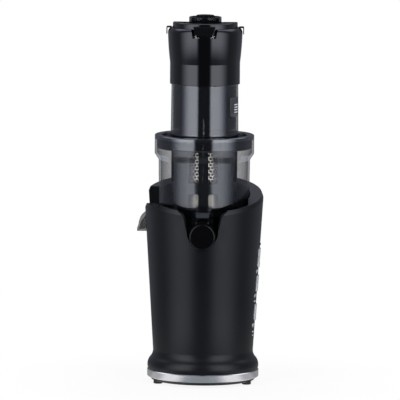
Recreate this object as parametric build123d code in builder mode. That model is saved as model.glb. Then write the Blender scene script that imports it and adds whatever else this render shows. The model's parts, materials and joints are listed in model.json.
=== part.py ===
from build123d import *

import os
from math import acos, cos, pi, radians, sin, tan

# Upright slow juicer, millimetres. Z is the machine axis, z = 0 is the worktop,
# -Y is the front with the juice spout, -X the pulp chute, +X the buttons.

# Base
foot_r = 5.5
foot_circle_r = 57.8
foot_azimuth = 23.5
plate_z = 3.2
plate_top = 7.0
plate_r = 62.5
screw_circle_r = 49.8
ring_r = 67.0
ring_bore_r = 61.5
ring_top = 16.0

# Casing: a foot flare below a gently opening cone, cut off by a sloping rim
wall = 3.0
cone_r0 = 57.7
cone_slope = 0.061
flare_r = 66.8
flare_z = 21.0
neck_z = 39.3
rim_z = 227.1
rim_tilt = 12.4
rim_top = 250.0
rim_bevel_in = 2.0
rim_bevel_down = 4.6
recess_r = 55.5
recess_floor = 170.0
front_void_x = 53.5
front_wall = 3.6
deck_step_r = 49.8
deck_r = 54.0
deck_z = 163.8
ledge_z = 215.0
ledge_y = 24.5
ledge_x = -52.0
chute_slot_z = 178.0
notch_w = 17.5
notch_r = 16.5
notch_z = 186.6
notch_shoulder_r = 11.0
notch_shoulder_z = 202.0

# Buttons on a panel turned a little to the front
panel_turn = -4.0
button_w = 16.0
button_spans = {"button_top": (139.5, 162.4), "button_middle": (110.5, 129.8), "button_bottom": (75.5, 94.8)}
button_gap = 0.5
lens_z = 167.5
board_x = 44.0
board_z = 113.0
inlet_z = 52.0

# Motor and planetary gearbox
motor_r = 32.0
motor_z = 36.0
motor_top = 118.0
shaft_r = 4.0
sun_shaft_r = 2.5
box_r = 38.0
box_z = 122.0
box_top = 150.0
gear_z = 130.0
gear_h = 12.0
tooth_module = 1.0
sun_teeth = 12
planet_teeth = 24
ring_teeth = 60
planet_count = 3
pin_r = 3.0
drive_r = 6.0
hex_flat = 10.0
hex_z = 176.0
hex_top = 222.0

# Drum
drum_r = 54.2
drum_shoulder_r = 54.8
drum_z = 213.0
drum_floor = 216.0
drum_shoulder_z = 268.5
flange_z = 276.0
flange_r = 59.6
flange_top = 293.7
drum_wall = 2.4
well_r = 36.4
well_floor = 203.0
well_skin = 3.0
hub_r = 27.0
hub_top = 180.8
hub_neck_r = 12.5
hub_z = 170.3
spout_z = 183.2
spout_r = 12.5
spout_bore_r = 9.5
spout_y = -71.6
chute_y = 12.0
chute_w = 22.0
chute_end_x = -13.1
chute_x = -80.2
chute_z = 181.0
chute_top = 202.6

# Strainer, wiper and auger inside the drum
wheel_module = 1.25
auger_teeth = 24
idler_teeth = 12
wiper_teeth = 48
wheel_z = 204.2
wheel_h = 5.6
strainer_z = 211.4
strainer_r = 31.5
strainer_top_r = 29.0
strainer_top = 286.0
frame_r = 39.6
frame_top = 288.0
post_half = 5.9
window_end = 27.5
window_lean = 4.0

# Cap on the spout
cap_r = 15.1
cap_face_y = -77.6
cap_back_y = -73.0
cap_axis_y = -70.0
cap_axis_z = 199.3
cap_pin_r = 1.4
strap_half = 6.4
strap_swing_r = 5.7

# Feed tube, lid and collar
lid_z = 294.0
lid_top = 298.5
lid_ring_r = 51.0
lid_web_z = 291.0
tube_foot_r = 40.6
tube_r = 40.0
tube_bore_r = 37.8
collar_z = 359.7
collar_r = 41.9
collar_flare_z = 385.0
collar_top_r = 44.6
collar_shoulder_z = 420.5
collar_top = 427.2
collar_mouth_r = 38.2
ear_x = 46.4
ear_half = 4.7
ear_low = 419.4
ear_top = 428.4
notch_top_w = 32.0
notch_bottom_w = 28.0
tongue_notch_z = 416.9

# Pushers
pusher_r = 37.2
pusher_z = 306.0
disc_r = 38.8
disc_z = 427.5
disc_top = 434.0
disc_fall = 5.2
small_bore_r = 17.3
small_r = 16.8
small_cap_r = 19.4
small_cap_z = 429.6
small_top = 440.0
knob_r = 10.8
knob_top = 442.0


def turned(*points):
    """Face in the XZ half plane from (radius, z) points, for a revolve about Z."""
    with BuildSketch(Plane.XZ) as profile:
        with BuildLine():
            Polyline(*points, close=True)
        make_face()
    return profile.sketch


def tube_face(r_out, r_in, z_low, z_high):
    return turned((r_in, z_low), (r_out, z_low), (r_out, z_high), (r_in, z_high))


def cone_r(z):
    """Outer radius of the casing's cone at height z."""
    return cone_r0 + cone_slope * z


def involute(angle):
    return tan(angle) - angle


def gear_face(teeth, module, addendum, dedendum, backlash, phase, z):
    """Involute gear outline at height z, with one tooth centred at the phase angle in degrees."""
    pressure = radians(25)
    pitch_r = teeth * module / 2
    base_r = pitch_r * cos(pressure)
    tip_r = pitch_r + addendum
    root_r = pitch_r - dedendum
    half_pitch_angle = pi / (2 * teeth) - backlash / (2 * pitch_r)
    points = []
    for tooth in range(teeth):
        centre = radians(phase) + 2 * pi * tooth / teeth
        flank = []
        for r in (root_r, max(base_r, (root_r + pitch_r) / 2), pitch_r, (pitch_r + tip_r) / 2, tip_r):
            roll = acos(min(1.0, base_r / r)) if r > base_r else 0.0
            half = half_pitch_angle + involute(pressure) - involute(roll)
            if not flank or r > flank[-1][0] + 0.01:
                flank.append((r, half))
        points += [(r * cos(centre - half), r * sin(centre - half)) for r, half in flank]
        points += [(r * cos(centre + half), r * sin(centre + half)) for r, half in reversed(flank)]
    with BuildSketch(Plane.XY.offset(z)) as outline:
        with BuildLine():
            Polyline(*points, close=True)
        make_face()
    return outline.sketch


def notch_face(y, half, low_r, low_z, shoulder_r, shoulder_z):
    """Outline of the spout notch in the plane at y: round bottom, straight sides, flared shoulders."""
    top = rim_top + 20
    reach = half + shoulder_r
    corner = shoulder_r * (1 - cos(pi / 4))
    with BuildSketch(Plane.XZ.offset(-y)) as outline:
        with BuildLine():
            ThreePointArc((-low_r, low_z), (0, low_z - low_r), (low_r, low_z))
            Line((low_r, low_z), (half, shoulder_z))
            ThreePointArc(
                (half, shoulder_z),
                (half + corner, shoulder_z + shoulder_r * sin(pi / 4)),
                (reach, shoulder_z + shoulder_r),
            )
            Polyline(
                (reach, shoulder_z + shoulder_r),
                (reach, top),
                (-reach, top),
                (-reach, shoulder_z + shoulder_r),
            )
            ThreePointArc(
                (-reach, shoulder_z + shoulder_r),
                (-half - corner, shoulder_z + shoulder_r * sin(pi / 4)),
                (-half, shoulder_z),
            )
            Line((-half, shoulder_z), (-low_r, low_z))
        make_face()
    return outline.sketch


rim_normal = (0, -sin(radians(rim_tilt)), cos(radians(rim_tilt)))
rim_plane = Plane(origin=(0, 0, rim_z), x_dir=(1, 0, 0), z_dir=rim_normal)
panel_plane = Plane.YZ.rotated((0, 0, panel_turn))

# Base plate and ring --------------------------------------------------------------

with BuildPart() as base_plate:
    revolve(
        turned(
            (0, plate_z),
            (plate_r - 1, plate_z),
            (plate_r, plate_z + 1),
            (plate_r, plate_top),
            (0, plate_top),
        )
    )
    revolve(tube_face(ring_bore_r - 0.2, ring_bore_r - 3.2, plate_top - 1, ring_top + 4))
    with PolarLocations(screw_circle_r, 4, start_angle=45):
        Hole(1.8)
    with BuildSketch(Plane.XY.offset(plate_z)):
        with PolarLocations(20, 12):
            SlotOverall(14, 3, rotation=0)
    extrude(amount=plate_top - plate_z, mode=Mode.SUBTRACT)

with BuildPart() as trim_ring:
    revolve(
        turned(
            (ring_bore_r, plate_top),
            (ring_r - 0.8, plate_top),
            (ring_r, plate_top + 0.8),
            (ring_r, ring_top - 0.8),
            (ring_r - 0.8, ring_top),
            (ring_bore_r, ring_top),
        )
    )

foot_spots = [
    (foot_circle_r * cos(radians(a)), foot_circle_r * sin(radians(a)))
    for a in (foot_azimuth, 180 - foot_azimuth, 180 + foot_azimuth, -foot_azimuth)
]
with BuildPart() as rubber_feet:
    with BuildSketch():
        with Locations(*foot_spots):
            Circle(foot_r)
    extrude(amount=plate_z)
    chamfer(rubber_feet.edges().group_by(Axis.Z)[0], length=0.6)

# Casing ---------------------------------------------------------------------------

with BuildPart() as casing_hollow:
    with BuildSketch(Plane.XZ):
        with BuildLine():
            Polyline(
                (0, ring_top - 1),
                (flare_r - wall - 1, ring_top - 1),
                (flare_r - wall - 0.8, flare_z + 4),
                (cone_r(neck_z) - wall, neck_z),
                (cone_r(rim_top) - wall, rim_top),
                (0, rim_top),
                close=True,
            )
        make_face()
    revolve(axis=Axis.Z)
    split(bisect_by=rim_plane.offset(-wall), keep=Keep.BOTTOM)
    with BuildSketch(Plane.XY.offset(recess_floor - 2.7)):
        Circle(recess_r + 2.5)
        with Locations((0, -40)):
            Rectangle(2 * front_void_x + 5, 80)
    extrude(amount=rim_top, mode=Mode.SUBTRACT)
    # Solid round the chute slot and under the ledge
    with BuildSketch(Plane.XY.offset(chute_slot_z - wall)):
        with Locations((ledge_x - 20, ledge_y / 2)):
            Rectangle(48, ledge_y + 2 * wall)
    extrude(amount=rim_top, mode=Mode.SUBTRACT)
    with BuildSketch(Plane.XY.offset(ledge_z - wall)):
        with Locations((ledge_x - 20, ledge_y - 50)):
            Rectangle(44, 100)
    extrude(amount=rim_top, mode=Mode.SUBTRACT)

with BuildPart() as front_void:
    revolve(
        turned(
            (0, recess_floor),
            (cone_r(recess_floor) - front_wall, recess_floor),
            (cone_r(rim_top) - front_wall, rim_top),
            (0, rim_top),
        )
    )
    with BuildSketch(Plane.XY.offset(recess_floor)):
        with Locations((0, -40)):
            Rectangle(2 * front_void_x, 80)
    extrude(amount=rim_top, mode=Mode.INTERSECT)

with BuildPart() as ledge_bevel:
    revolve(
        turned(
            (cone_r(ledge_z) - rim_bevel_in, ledge_z),
            (cone_r(ledge_z) + rim_bevel_in, ledge_z),
            (cone_r(ledge_z) + rim_bevel_in, ledge_z - rim_bevel_down),
            (cone_r(ledge_z - rim_bevel_down), ledge_z - rim_bevel_down),
        )
    )
    with BuildSketch(Plane.XY.offset(ledge_z - rim_bevel_down)):
        with Locations((ledge_x - 20, ledge_y - 50)):
            Rectangle(40, 100)
    extrude(amount=rim_bevel_down, mode=Mode.INTERSECT)

with BuildPart() as casing_shell:
    with BuildSketch(Plane.XZ):
        with BuildLine():
            flare = ThreePointArc((65.9, ring_top + 0.2), (flare_r, flare_z), (63.4, 29.9))
            neck = TangentArc(flare @ 1, (cone_r(neck_z), neck_z), tangent=flare % 1)
            Polyline(
                neck @ 1, (cone_r(rim_top), rim_top), (0, rim_top), (0, ring_top + 0.2), flare @ 0
            )
        make_face()
    revolve(axis=Axis.Z)
    split(bisect_by=rim_plane, keep=Keep.BOTTOM)
    chamfer(
        casing_shell.edges().filter_by(GeomType.ELLIPSE),
        length=rim_bevel_in,
        length2=rim_bevel_down,
        reference=casing_shell.faces().filter_by(GeomType.PLANE).sort_by(Axis.Z)[-1],
    )
    with BuildSketch(Plane.XY.offset(recess_floor)):
        Circle(recess_r)
    extrude(amount=rim_top, mode=Mode.SUBTRACT)
    add(front_void.part, mode=Mode.SUBTRACT)
    # Ring floor that the deck closes from below
    with BuildSketch(Plane.XY.offset(recess_floor)):
        Circle(deck_step_r + 0.1)
    extrude(amount=-5, mode=Mode.SUBTRACT)
    # Ledge and open slot for the pulp chute on the left
    with BuildSketch(Plane.XY.offset(ledge_z)):
        with Locations((ledge_x - 20, ledge_y - 50)):
            Rectangle(40, 100)
    extrude(amount=60, mode=Mode.SUBTRACT)
    with BuildSketch(Plane.XY.offset(chute_slot_z)):
        with Locations((ledge_x - 20, ledge_y / 2)):
            Rectangle(44, ledge_y)
    extrude(amount=60, mode=Mode.SUBTRACT)
    add(ledge_bevel.part, mode=Mode.SUBTRACT)
    add(casing_hollow.part, mode=Mode.SUBTRACT)
    # Spout notch with its wide outer bevel
    loft(
        [
            notch_face(-60.5, notch_w, notch_r, notch_z, notch_shoulder_r, notch_shoulder_z).face(),
            notch_face(
                -72.5, notch_w + 8.5, notch_r + 4.6, notch_z + 2.6, notch_shoulder_r - 2, notch_shoulder_z - 4
            ).face(),
        ],
        ruled=True,
        mode=Mode.SUBTRACT,
    )
    extrude(
        notch_face(-50, notch_w, notch_r, notch_z, notch_shoulder_r, notch_shoulder_z),
        amount=14,
        mode=Mode.SUBTRACT,
    )
    # Button windows, status lens hole and cord hole
    for low, high in button_spans.values():
        with BuildSketch(panel_plane.offset(50)):
            with Locations((0, (low + high) / 2)):
                RectangleRounded(button_w + 2 * button_gap, high - low + 2 * button_gap, 3.5)
        extrude(amount=30, mode=Mode.SUBTRACT)
    with BuildSketch(panel_plane.offset(50)):
        with Locations((0, lens_z)):
            Circle(1.6)
    extrude(amount=30, mode=Mode.SUBTRACT)
    with BuildSketch(Plane.XZ.offset(-50)):
        with Locations((0, inlet_z)):
            Circle(6)
    extrude(amount=-30, mode=Mode.SUBTRACT)
    # Screw bosses that stand on the cone's inner wall
    with BuildSketch(Plane.XY.offset(ring_top + 6)):
        with PolarLocations(screw_circle_r, 4, start_angle=45):
            Circle(3.6)
    extrude(amount=30)
    with BuildSketch(Plane.XY.offset(neck_z)):
        with PolarLocations(screw_circle_r + 4, 4, start_angle=45):
            Rectangle(8, 3)
    extrude(amount=12)
    with BuildSketch(Plane.XY.offset(ring_top + 5)):
        with PolarLocations(screw_circle_r, 4, start_angle=45):
            Circle(1.5)
    extrude(amount=24, mode=Mode.SUBTRACT)

# Deck under the drum -------------------------------------------------------------

post_circle_r = 44.0
boss_r = 20.0

with BuildPart() as top_deck:
    revolve(
        turned(
            (8.6, deck_z),
            (deck_r, deck_z),
            (deck_r, recess_floor - 2.7),
            (deck_step_r, recess_floor - 2.7),
            (deck_step_r, recess_floor),
            (boss_r, recess_floor),
            (boss_r - 0.8, recess_floor + 5),
            (12, recess_floor + 5),
            (12, recess_floor + 1),
            (8.6, recess_floor + 1),
        )
    )
    with BuildSketch(Plane.XY.offset(deck_z)):
        with PolarLocations(post_circle_r, 4, start_angle=45):
            Circle(4)
    extrude(amount=box_top + 4 - deck_z)
    with BuildSketch(Plane.XY.offset(box_top + 4)):
        with PolarLocations(post_circle_r, 4, start_angle=45):
            Circle(1.5)
    extrude(amount=10, mode=Mode.SUBTRACT)
    with BuildSketch(Plane.XY.offset(deck_z)):
        with PolarLocations(deck_r - 2.2, 4, start_angle=45):
            Circle(1.2)
    extrude(amount=8, mode=Mode.SUBTRACT)

with BuildPart() as casing_screws:
    with BuildSketch(Plane.XY.offset(plate_z + 1)):
        with PolarLocations(screw_circle_r, 4, start_angle=45):
            Circle(1.4)
    extrude(amount=32)
    with BuildSketch(Plane.XY.offset(deck_z - 1.6)):
        with PolarLocations(deck_r - 2.2, 4, start_angle=45):
            Circle(2.1)
    extrude(amount=1.6)
    with BuildSketch(Plane.XY.offset(deck_z)):
        with PolarLocations(deck_r - 2.2, 4, start_angle=45):
            Circle(1.15)
    extrude(amount=3.5)

with BuildPart() as deck_seal:
    revolve(
        turned(
            (drive_r + 0.1, recess_floor + 1),
            (11.9, recess_floor + 1),
            (11.9, recess_floor + 3.6),
            (8.4, recess_floor + 3.6),
            (drive_r + 0.1, recess_floor + 2.2),
        )
    )

# Motor -----------------------------------------------------------------------------

bearing_r = 11.0
stator_z = 52.0
stator_h = 42.0

with BuildPart() as motor_can:
    revolve(
        turned(
            (motor_r - 2, motor_z + 3),
            (motor_r, motor_z + 3),
            (motor_r, motor_top - 1.5),
            (motor_r - 1.5, motor_top),
            (bearing_r, motor_top),
            (bearing_r, motor_top - 7),
            (bearing_r + 2, motor_top - 7),
            (bearing_r + 2, motor_top - 2.5),
            (motor_r - 2, motor_top - 2.5),
        )
    )
    with BuildSketch(Plane.XY.offset(motor_z + 8)):
        with PolarLocations(motor_r - 1, 8):
            Rectangle(6, 8)
    extrude(amount=6, mode=Mode.SUBTRACT)

with BuildPart() as motor_end_plate:
    revolve(
        turned(
            (bearing_r, motor_z),
            (motor_r, motor_z),
            (motor_r, motor_z + 3),
            (bearing_r + 2, motor_z + 3),
            (bearing_r + 2, motor_z + 7),
            (bearing_r, motor_z + 7),
        )
    )
    with BuildSketch(Plane.XY.offset(motor_z)):
        with PolarLocations(23, 6):
            Circle(4.5)
    extrude(amount=3, mode=Mode.SUBTRACT)

# Legs stand on the base plate and carry the motor's lower end
with BuildPart() as motor_cradle:
    revolve(tube_face(motor_r + 4, motor_r + 0.2, motor_z - 4, motor_z + 10))
    with BuildSketch(Plane.XY.offset(plate_top)):
        with PolarLocations(motor_r + 4, 3, start_angle=30):
            Rectangle(6, 12)
    extrude(amount=motor_z - 2 - plate_top)
    revolve(tube_face(motor_r + 0.4, motor_r - 2, motor_z - 4, motor_z))

with BuildPart() as motor_stator:
    revolve(tube_face(motor_r - 2, 20.4, stator_z, stator_z + stator_h))

with BuildPart() as motor_windings:
    for low in (stator_z - 8, stator_z + stator_h):
        revolve(
            turned(
                (21.5, low),
                (28.5, low),
                (28.5, low + 8),
                (21.5, low + 8),
            )
        )

with BuildPart() as motor_bearings:
    revolve(tube_face(bearing_r, shaft_r + 0.04, motor_z, motor_z + 7))
    revolve(tube_face(bearing_r, shaft_r + 0.04, motor_top - 7, motor_top))

with BuildPart() as motor_shaft:
    revolve(
        turned(
            (0, 23),
            (shaft_r, 23),
            (shaft_r, 126),
            (sun_shaft_r, 126),
            (sun_shaft_r, gear_z + gear_h + 1),
            (0, gear_z + gear_h + 1),
        )
    )

with BuildPart() as rotor_core:
    revolve(tube_face(20.0, shaft_r, stator_z, stator_z + stator_h))

with BuildPart() as cooling_fan:
    revolve(tube_face(9, shaft_r, 23.4, 31))
    revolve(tube_face(29, 9, 29.8, 31))
    with BuildSketch(Plane.XY.offset(23.4)):
        with PolarLocations(19, 11):
            Rectangle(20, 1.4, rotation=28)
    extrude(amount=6.4)

# Planetary gearbox -------------------------------------------------------------------

pitch_centre = tooth_module * (sun_teeth + planet_teeth) / 2
addendum = 0.8 * tooth_module
dedendum = 1.05 * tooth_module
backlash = 0.16

with BuildPart() as gearbox_housing:
    revolve(tube_face(box_r, 6.5, motor_top, box_top))
    extrude(
        gear_face(ring_teeth, tooth_module, dedendum, addendum, -backlash, 180 / ring_teeth, box_z),
        amount=box_top - box_z,
        mode=Mode.SUBTRACT,
    )
    with BuildSketch(Plane.XY.offset(box_top)):
        with PolarLocations(box_r - 3.2, 4):
            Circle(1.2)
    extrude(amount=-12, mode=Mode.SUBTRACT)

with BuildPart() as sun_gear:
    extrude(
        gear_face(sun_teeth, tooth_module, addendum, dedendum, backlash, 0, gear_z - 0.5),
        amount=gear_h + 1,
    )
    with BuildSketch(Plane.XY.offset(gear_z - 0.5)):
        Circle(sun_shaft_r)
    extrude(amount=gear_h + 1, mode=Mode.SUBTRACT)

planets = {}
for index in range(planet_count):
    turn = 360 / planet_count * index
    with BuildPart() as planet_gear:
        extrude(
            gear_face(planet_teeth, tooth_module, addendum, dedendum, backlash, 180 / planet_teeth, gear_z),
            amount=gear_h,
        )
        with BuildSketch(Plane.XY.offset(gear_z)):
            Circle(pin_r + 0.05)
        extrude(amount=gear_h, mode=Mode.SUBTRACT)
    with BuildPart() as placed_planet:
        add(Rot(0, 0, turn) * Pos(pitch_centre, 0, 0) * planet_gear.part)
    planets[f"planet_gear_{index + 1}"] = placed_planet

carrier_z = gear_z + gear_h + 1.6

with BuildPart() as planet_carrier:
    with BuildSketch(Plane.XY.offset(carrier_z)):
        Circle(24)
        Circle(drive_r, mode=Mode.SUBTRACT)
    extrude(amount=4.5)
    with BuildSketch(Plane.XY.offset(gear_z - 1)):
        with PolarLocations(pitch_centre, planet_count):
            Circle(pin_r)
    extrude(amount=carrier_z - gear_z + 1)

with BuildPart() as drive_shaft:
    with BuildSketch(Plane.XY.offset(carrier_z)):
        Circle(drive_r)
    extrude(amount=hex_z - carrier_z)
    with BuildSketch(Plane.XY.offset(hex_z)):
        RegularPolygon(hex_flat / 2, 6, major_radius=False)
    extrude(amount=hex_top - hex_z)
    chamfer(drive_shaft.edges().group_by(Axis.Z)[-1], length=0.8)

with BuildPart() as gearbox_cover:
    revolve(
        turned(
            (drive_r + 1, box_top),
            (box_r, box_top),
            (box_r, box_top + 4),
            (bearing_r + 3, box_top + 4),
            (bearing_r + 3, box_top + 11),
            (bearing_r, box_top + 11),
            (bearing_r, box_top + 3),
            (drive_r + 1, box_top + 3),
        )
    )
    with BuildSketch(Plane.XY.offset(box_top)):
        with PolarLocations(post_circle_r - 4, 4, start_angle=45):
            SlotOverall(18, 10)
        Circle(box_r - 4, mode=Mode.SUBTRACT)
    extrude(amount=4)
    with BuildSketch(Plane.XY.offset(box_top)):
        with PolarLocations(post_circle_r, 4, start_angle=45):
            Circle(1.6)
        with PolarLocations(box_r - 3.2, 4):
            Circle(1.6)
    extrude(amount=4, mode=Mode.SUBTRACT)

with BuildPart() as drive_bearing:
    revolve(tube_face(bearing_r, drive_r + 0.04, box_top + 3, box_top + 11))

with BuildPart() as gearbox_screws:
    with BuildSketch(Plane.XY.offset(box_top - 9)):
        with PolarLocations(box_r - 3.2, 4):
            Circle(1.15)
    extrude(amount=13)
    with BuildSketch(Plane.XY.offset(box_top + 4)):
        with PolarLocations(box_r - 3.2, 4):
            Circle(2.6)
    extrude(amount=2)
    # Four more hold the cover's ears to the deck's posts from below
    with BuildSketch(Plane.XY.offset(box_top - 2)):
        with PolarLocations(post_circle_r, 4, start_angle=45):
            Circle(2.8)
    extrude(amount=2)
    with BuildSketch(Plane.XY.offset(box_top)):
        with PolarLocations(post_circle_r, 4, start_angle=45):
            Circle(1.45)
    extrude(amount=11)

# Buttons and electrics ---------------------------------------------------------------



def cone_body(proud):
    """Solid cone above the neck, grown outward by proud from the casing's outside."""
    with BuildPart() as cone:
        revolve(
            turned(
                (0, neck_z),
                (cone_r(neck_z) + proud, neck_z),
                (cone_r(rim_top) + proud, rim_top),
                (0, rim_top),
            )
        )
    return cone.part


buttons = {}
for name, (low, high) in button_spans.items():
    middle = (low + high) / 2
    flange_x = cone_r(low) - wall - 4.6
    with BuildPart() as button:
        with BuildSketch(panel_plane.offset(flange_x)):
            with Locations((0, middle)):
                RectangleRounded(button_w, high - low, 3)
        extrude(amount=20)
        add(cone_body(1.1), mode=Mode.INTERSECT)
        with BuildSketch(panel_plane.offset(flange_x)):
            with Locations((0, middle)):
                RectangleRounded(button_w + 3, high - low + 3, 3)
        extrude(amount=1.6)
        with BuildSketch(panel_plane.offset(board_x + 8.2)):
            with Locations((0, middle)):
                Circle(2.2)
        extrude(amount=flange_x - board_x - 8.2)
    buttons[name] = button

with BuildPart() as button_frame:
    with BuildSketch(panel_plane.offset(board_x - 2)):
        with Locations((0, board_z)):
            Rectangle(40, 94)
    extrude(amount=2)
    for side in (-1, 1):
        with BuildSketch(panel_plane.offset(board_x)):
            with Locations((side * 19, board_z)):
                Rectangle(2, 94)
        extrude(amount=30)
    add(cone_body(-wall), mode=Mode.INTERSECT)

with BuildPart() as control_board:
    with BuildSketch(panel_plane.offset(board_x)):
        with Locations((0, board_z)):
            Rectangle(34, 92)
    extrude(amount=1.6)

with BuildPart() as tact_switches:
    for low, high in button_spans.values():
        with BuildSketch(panel_plane.offset(board_x + 1.6)):
            with Locations((0, (low + high) / 2)):
                Rectangle(6, 6)
        extrude(amount=3.5)
        with BuildSketch(panel_plane.offset(board_x + 5.1)):
            with Locations((0, (low + high) / 2)):
                Circle(1.7)
        extrude(amount=1.2)

lens_x = cone_r(lens_z)
with BuildPart() as status_lens:
    with BuildSketch(panel_plane.offset(lens_x - 5)):
        with Locations((0, lens_z)):
            Circle(1.55)
    extrude(amount=5.9)
    fillet(status_lens.edges().filter_by(GeomType.CIRCLE).sort_by(Axis.X)[-1], radius=0.7)

with BuildPart() as power_board:
    with BuildSketch(Plane.XY.offset(plate_top)):
        with Locations((0, 47)):
            Rectangle(42, 1.6)
    extrude(amount=80)

with BuildPart() as board_parts:
    with BuildSketch(Plane.XZ.offset(-46.2)):
        with Locations((-10, 62)):
            Rectangle(14, 18)
        with Locations((9, 60)):
            Circle(6)
        with Locations((10, 30)):
            Rectangle(16, 12)
    extrude(amount=6)

with BuildPart() as safety_switch:
    with BuildSketch(Plane.XY.offset(deck_z - 8)):
        with Locations((0, 44)):
            Rectangle(14, 7)
    extrude(amount=8)

with BuildPart() as cord_inlet:
    with BuildSketch(Plane.XZ.offset(-(cone_r(inlet_z) + 0.7))):
        with Locations((0, inlet_z)):
            Circle(8.4)
    extrude(amount=-2.4)
    fillet(cord_inlet.edges().group_by(Axis.Y)[-1], radius=1.0)
    with BuildSketch(Plane.XZ.offset(-(cone_r(inlet_z) - 6))):
        with Locations((0, inlet_z)):
            Circle(5.9)
    extrude(amount=-6.9)
    with BuildSketch(Plane.XZ.offset(-50)):
        with Locations((0, inlet_z)):
            Circle(3.6)
    extrude(amount=-16, mode=Mode.SUBTRACT)

# Drum ----------------------------------------------------------------------------------

hub_bore_r = 22.5
pulp_azimuth = 158.0
pulp_half = 17.0
pulp_in_r = 18.5
pulp_out_r = 27.0
flange_bore_r = 57.2
tab_half = 8.0
tab_z = 203.0
tab_top = 211.5


def sector(r_in, r_out, azimuth, half, z):
    """Ring sector at height z, centred on an azimuth, in degrees from +X."""
    low = azimuth - half
    with BuildSketch(Plane.XY.offset(z)) as piece:
        with BuildLine():
            outer = CenterArc((0, 0), r_out, low, 2 * half)
            inner = CenterArc((0, 0), r_in, low, 2 * half)
            Line(outer @ 0, inner @ 0)
            Line(outer @ 1, inner @ 1)
        make_face()
    return piece.sketch


with BuildPart() as drum_bowl:
    with BuildSketch(Plane.XZ):
        with BuildLine():
            corner = ThreePointArc(
                (drum_r - 2.5, drum_z), (drum_r - 0.7, drum_z + 0.7), (drum_r, drum_z + 2.5)
            )
            Polyline(
                corner @ 1,
                (drum_shoulder_r, drum_shoulder_z),
                (flange_r, flange_z),
                (flange_r, flange_top),
                (flange_bore_r, flange_top),
                (flange_bore_r, flange_z + 1.4),
                (drum_shoulder_r - drum_wall, drum_shoulder_z + 1.4),
                (drum_r - drum_wall, drum_floor),
                (well_r, drum_floor),
                (well_r, well_floor),
                (0, well_floor),
                (0, hub_z),
                (hub_r, hub_z),
                (hub_r, hub_top),
                (hub_neck_r, hub_top),
                (hub_neck_r, well_floor - well_skin),
                (well_r + well_skin, well_floor - well_skin),
                (well_r + well_skin, drum_z),
                corner @ 0,
            )
        make_face()
    revolve(axis=Axis.Z)
    # Cavity over the deck's boss and the shaft hole
    with BuildSketch(Plane.XY.offset(hub_z)):
        Circle(hub_bore_r)
    extrude(amount=7.7, mode=Mode.SUBTRACT)
    # Collar round the pulp hole in the well's floor
    extrude(
        sector(pulp_in_r - 1.3, pulp_out_r + 1.3, pulp_azimuth, pulp_half + 3, well_floor),
        amount=strainer_z - well_floor,
    )
    extrude(
        sector(pulp_in_r, pulp_out_r, pulp_azimuth, pulp_half, well_floor - well_skin - 1),
        amount=20,
        mode=Mode.SUBTRACT,
    )
    # Juice spout: block under the floor, tube, flange, hinge tab
    with BuildSketch(Plane.XZ.offset(well_r + 1)):
        with Locations((0, spout_z)):
            Circle(spout_r)
        with Locations((0, (spout_z + drum_z + 1) / 2)):
            Rectangle(2 * spout_r, drum_z + 1 - spout_z)
    extrude(amount=21)
    with BuildSketch(Plane.XZ.offset(well_r + 20)):
        with Locations((0, spout_z)):
            Circle(spout_r)
    extrude(amount=-spout_y - well_r - 20)
    with BuildSketch(Plane.XZ.offset(-spout_y - 2)):
        with Locations((0, spout_z)):
            Circle(cap_r + 1.3)
        with Locations((0, cap_axis_z)):
            Rectangle(2 * tab_half + 1, 10, mode=Mode.SUBTRACT)
    extrude(amount=2)
    with BuildSketch(Plane.XY.offset(tab_z)):
        with Locations((0, -64.5)):
            Rectangle(2 * tab_half, 14)
    extrude(amount=tab_top - tab_z)
    with BuildSketch(Plane.YZ.offset(-tab_half)):
        with Locations((cap_axis_y, cap_axis_z)):
            Circle(2.8)
        with Locations((cap_axis_y, (cap_axis_z + tab_z) / 2 + 0.5)):
            Rectangle(5.6, tab_z - cap_axis_z + 1)
    extrude(amount=2 * tab_half)
    with BuildSketch(Plane.YZ.offset(-strap_half - 0.4)):
        with Locations((cap_axis_y, cap_axis_z)):
            Circle(strap_swing_r + 0.4)
    extrude(amount=2 * strap_half + 0.8, mode=Mode.SUBTRACT)
    with BuildSketch(Plane.YZ.offset(-tab_half - 1)):
        with Locations((cap_axis_y, cap_axis_z)):
            Circle(cap_pin_r)
    extrude(amount=2 * tab_half + 2, mode=Mode.SUBTRACT)
    with BuildSketch(Plane.XZ.offset(44)):
        with Locations((0, spout_z)):
            Circle(spout_bore_r)
    extrude(amount=30, mode=Mode.SUBTRACT)
    with BuildSketch(Plane.XY.offset(spout_z)):
        with Locations((0, -47)):
            Rectangle(16, 8)
    extrude(amount=drum_floor - spout_z + 1, mode=Mode.SUBTRACT)
    with BuildSketch(Plane.XY.offset(hub_z)):
        Circle(9)
    extrude(amount=40, mode=Mode.SUBTRACT)

# Pulp chute under the drum: a closed channel with a hood that opens downward outside the casing
chute_wall = 2.4
chute_ceiling = 197.6
hood_open_x = -71.6

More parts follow.
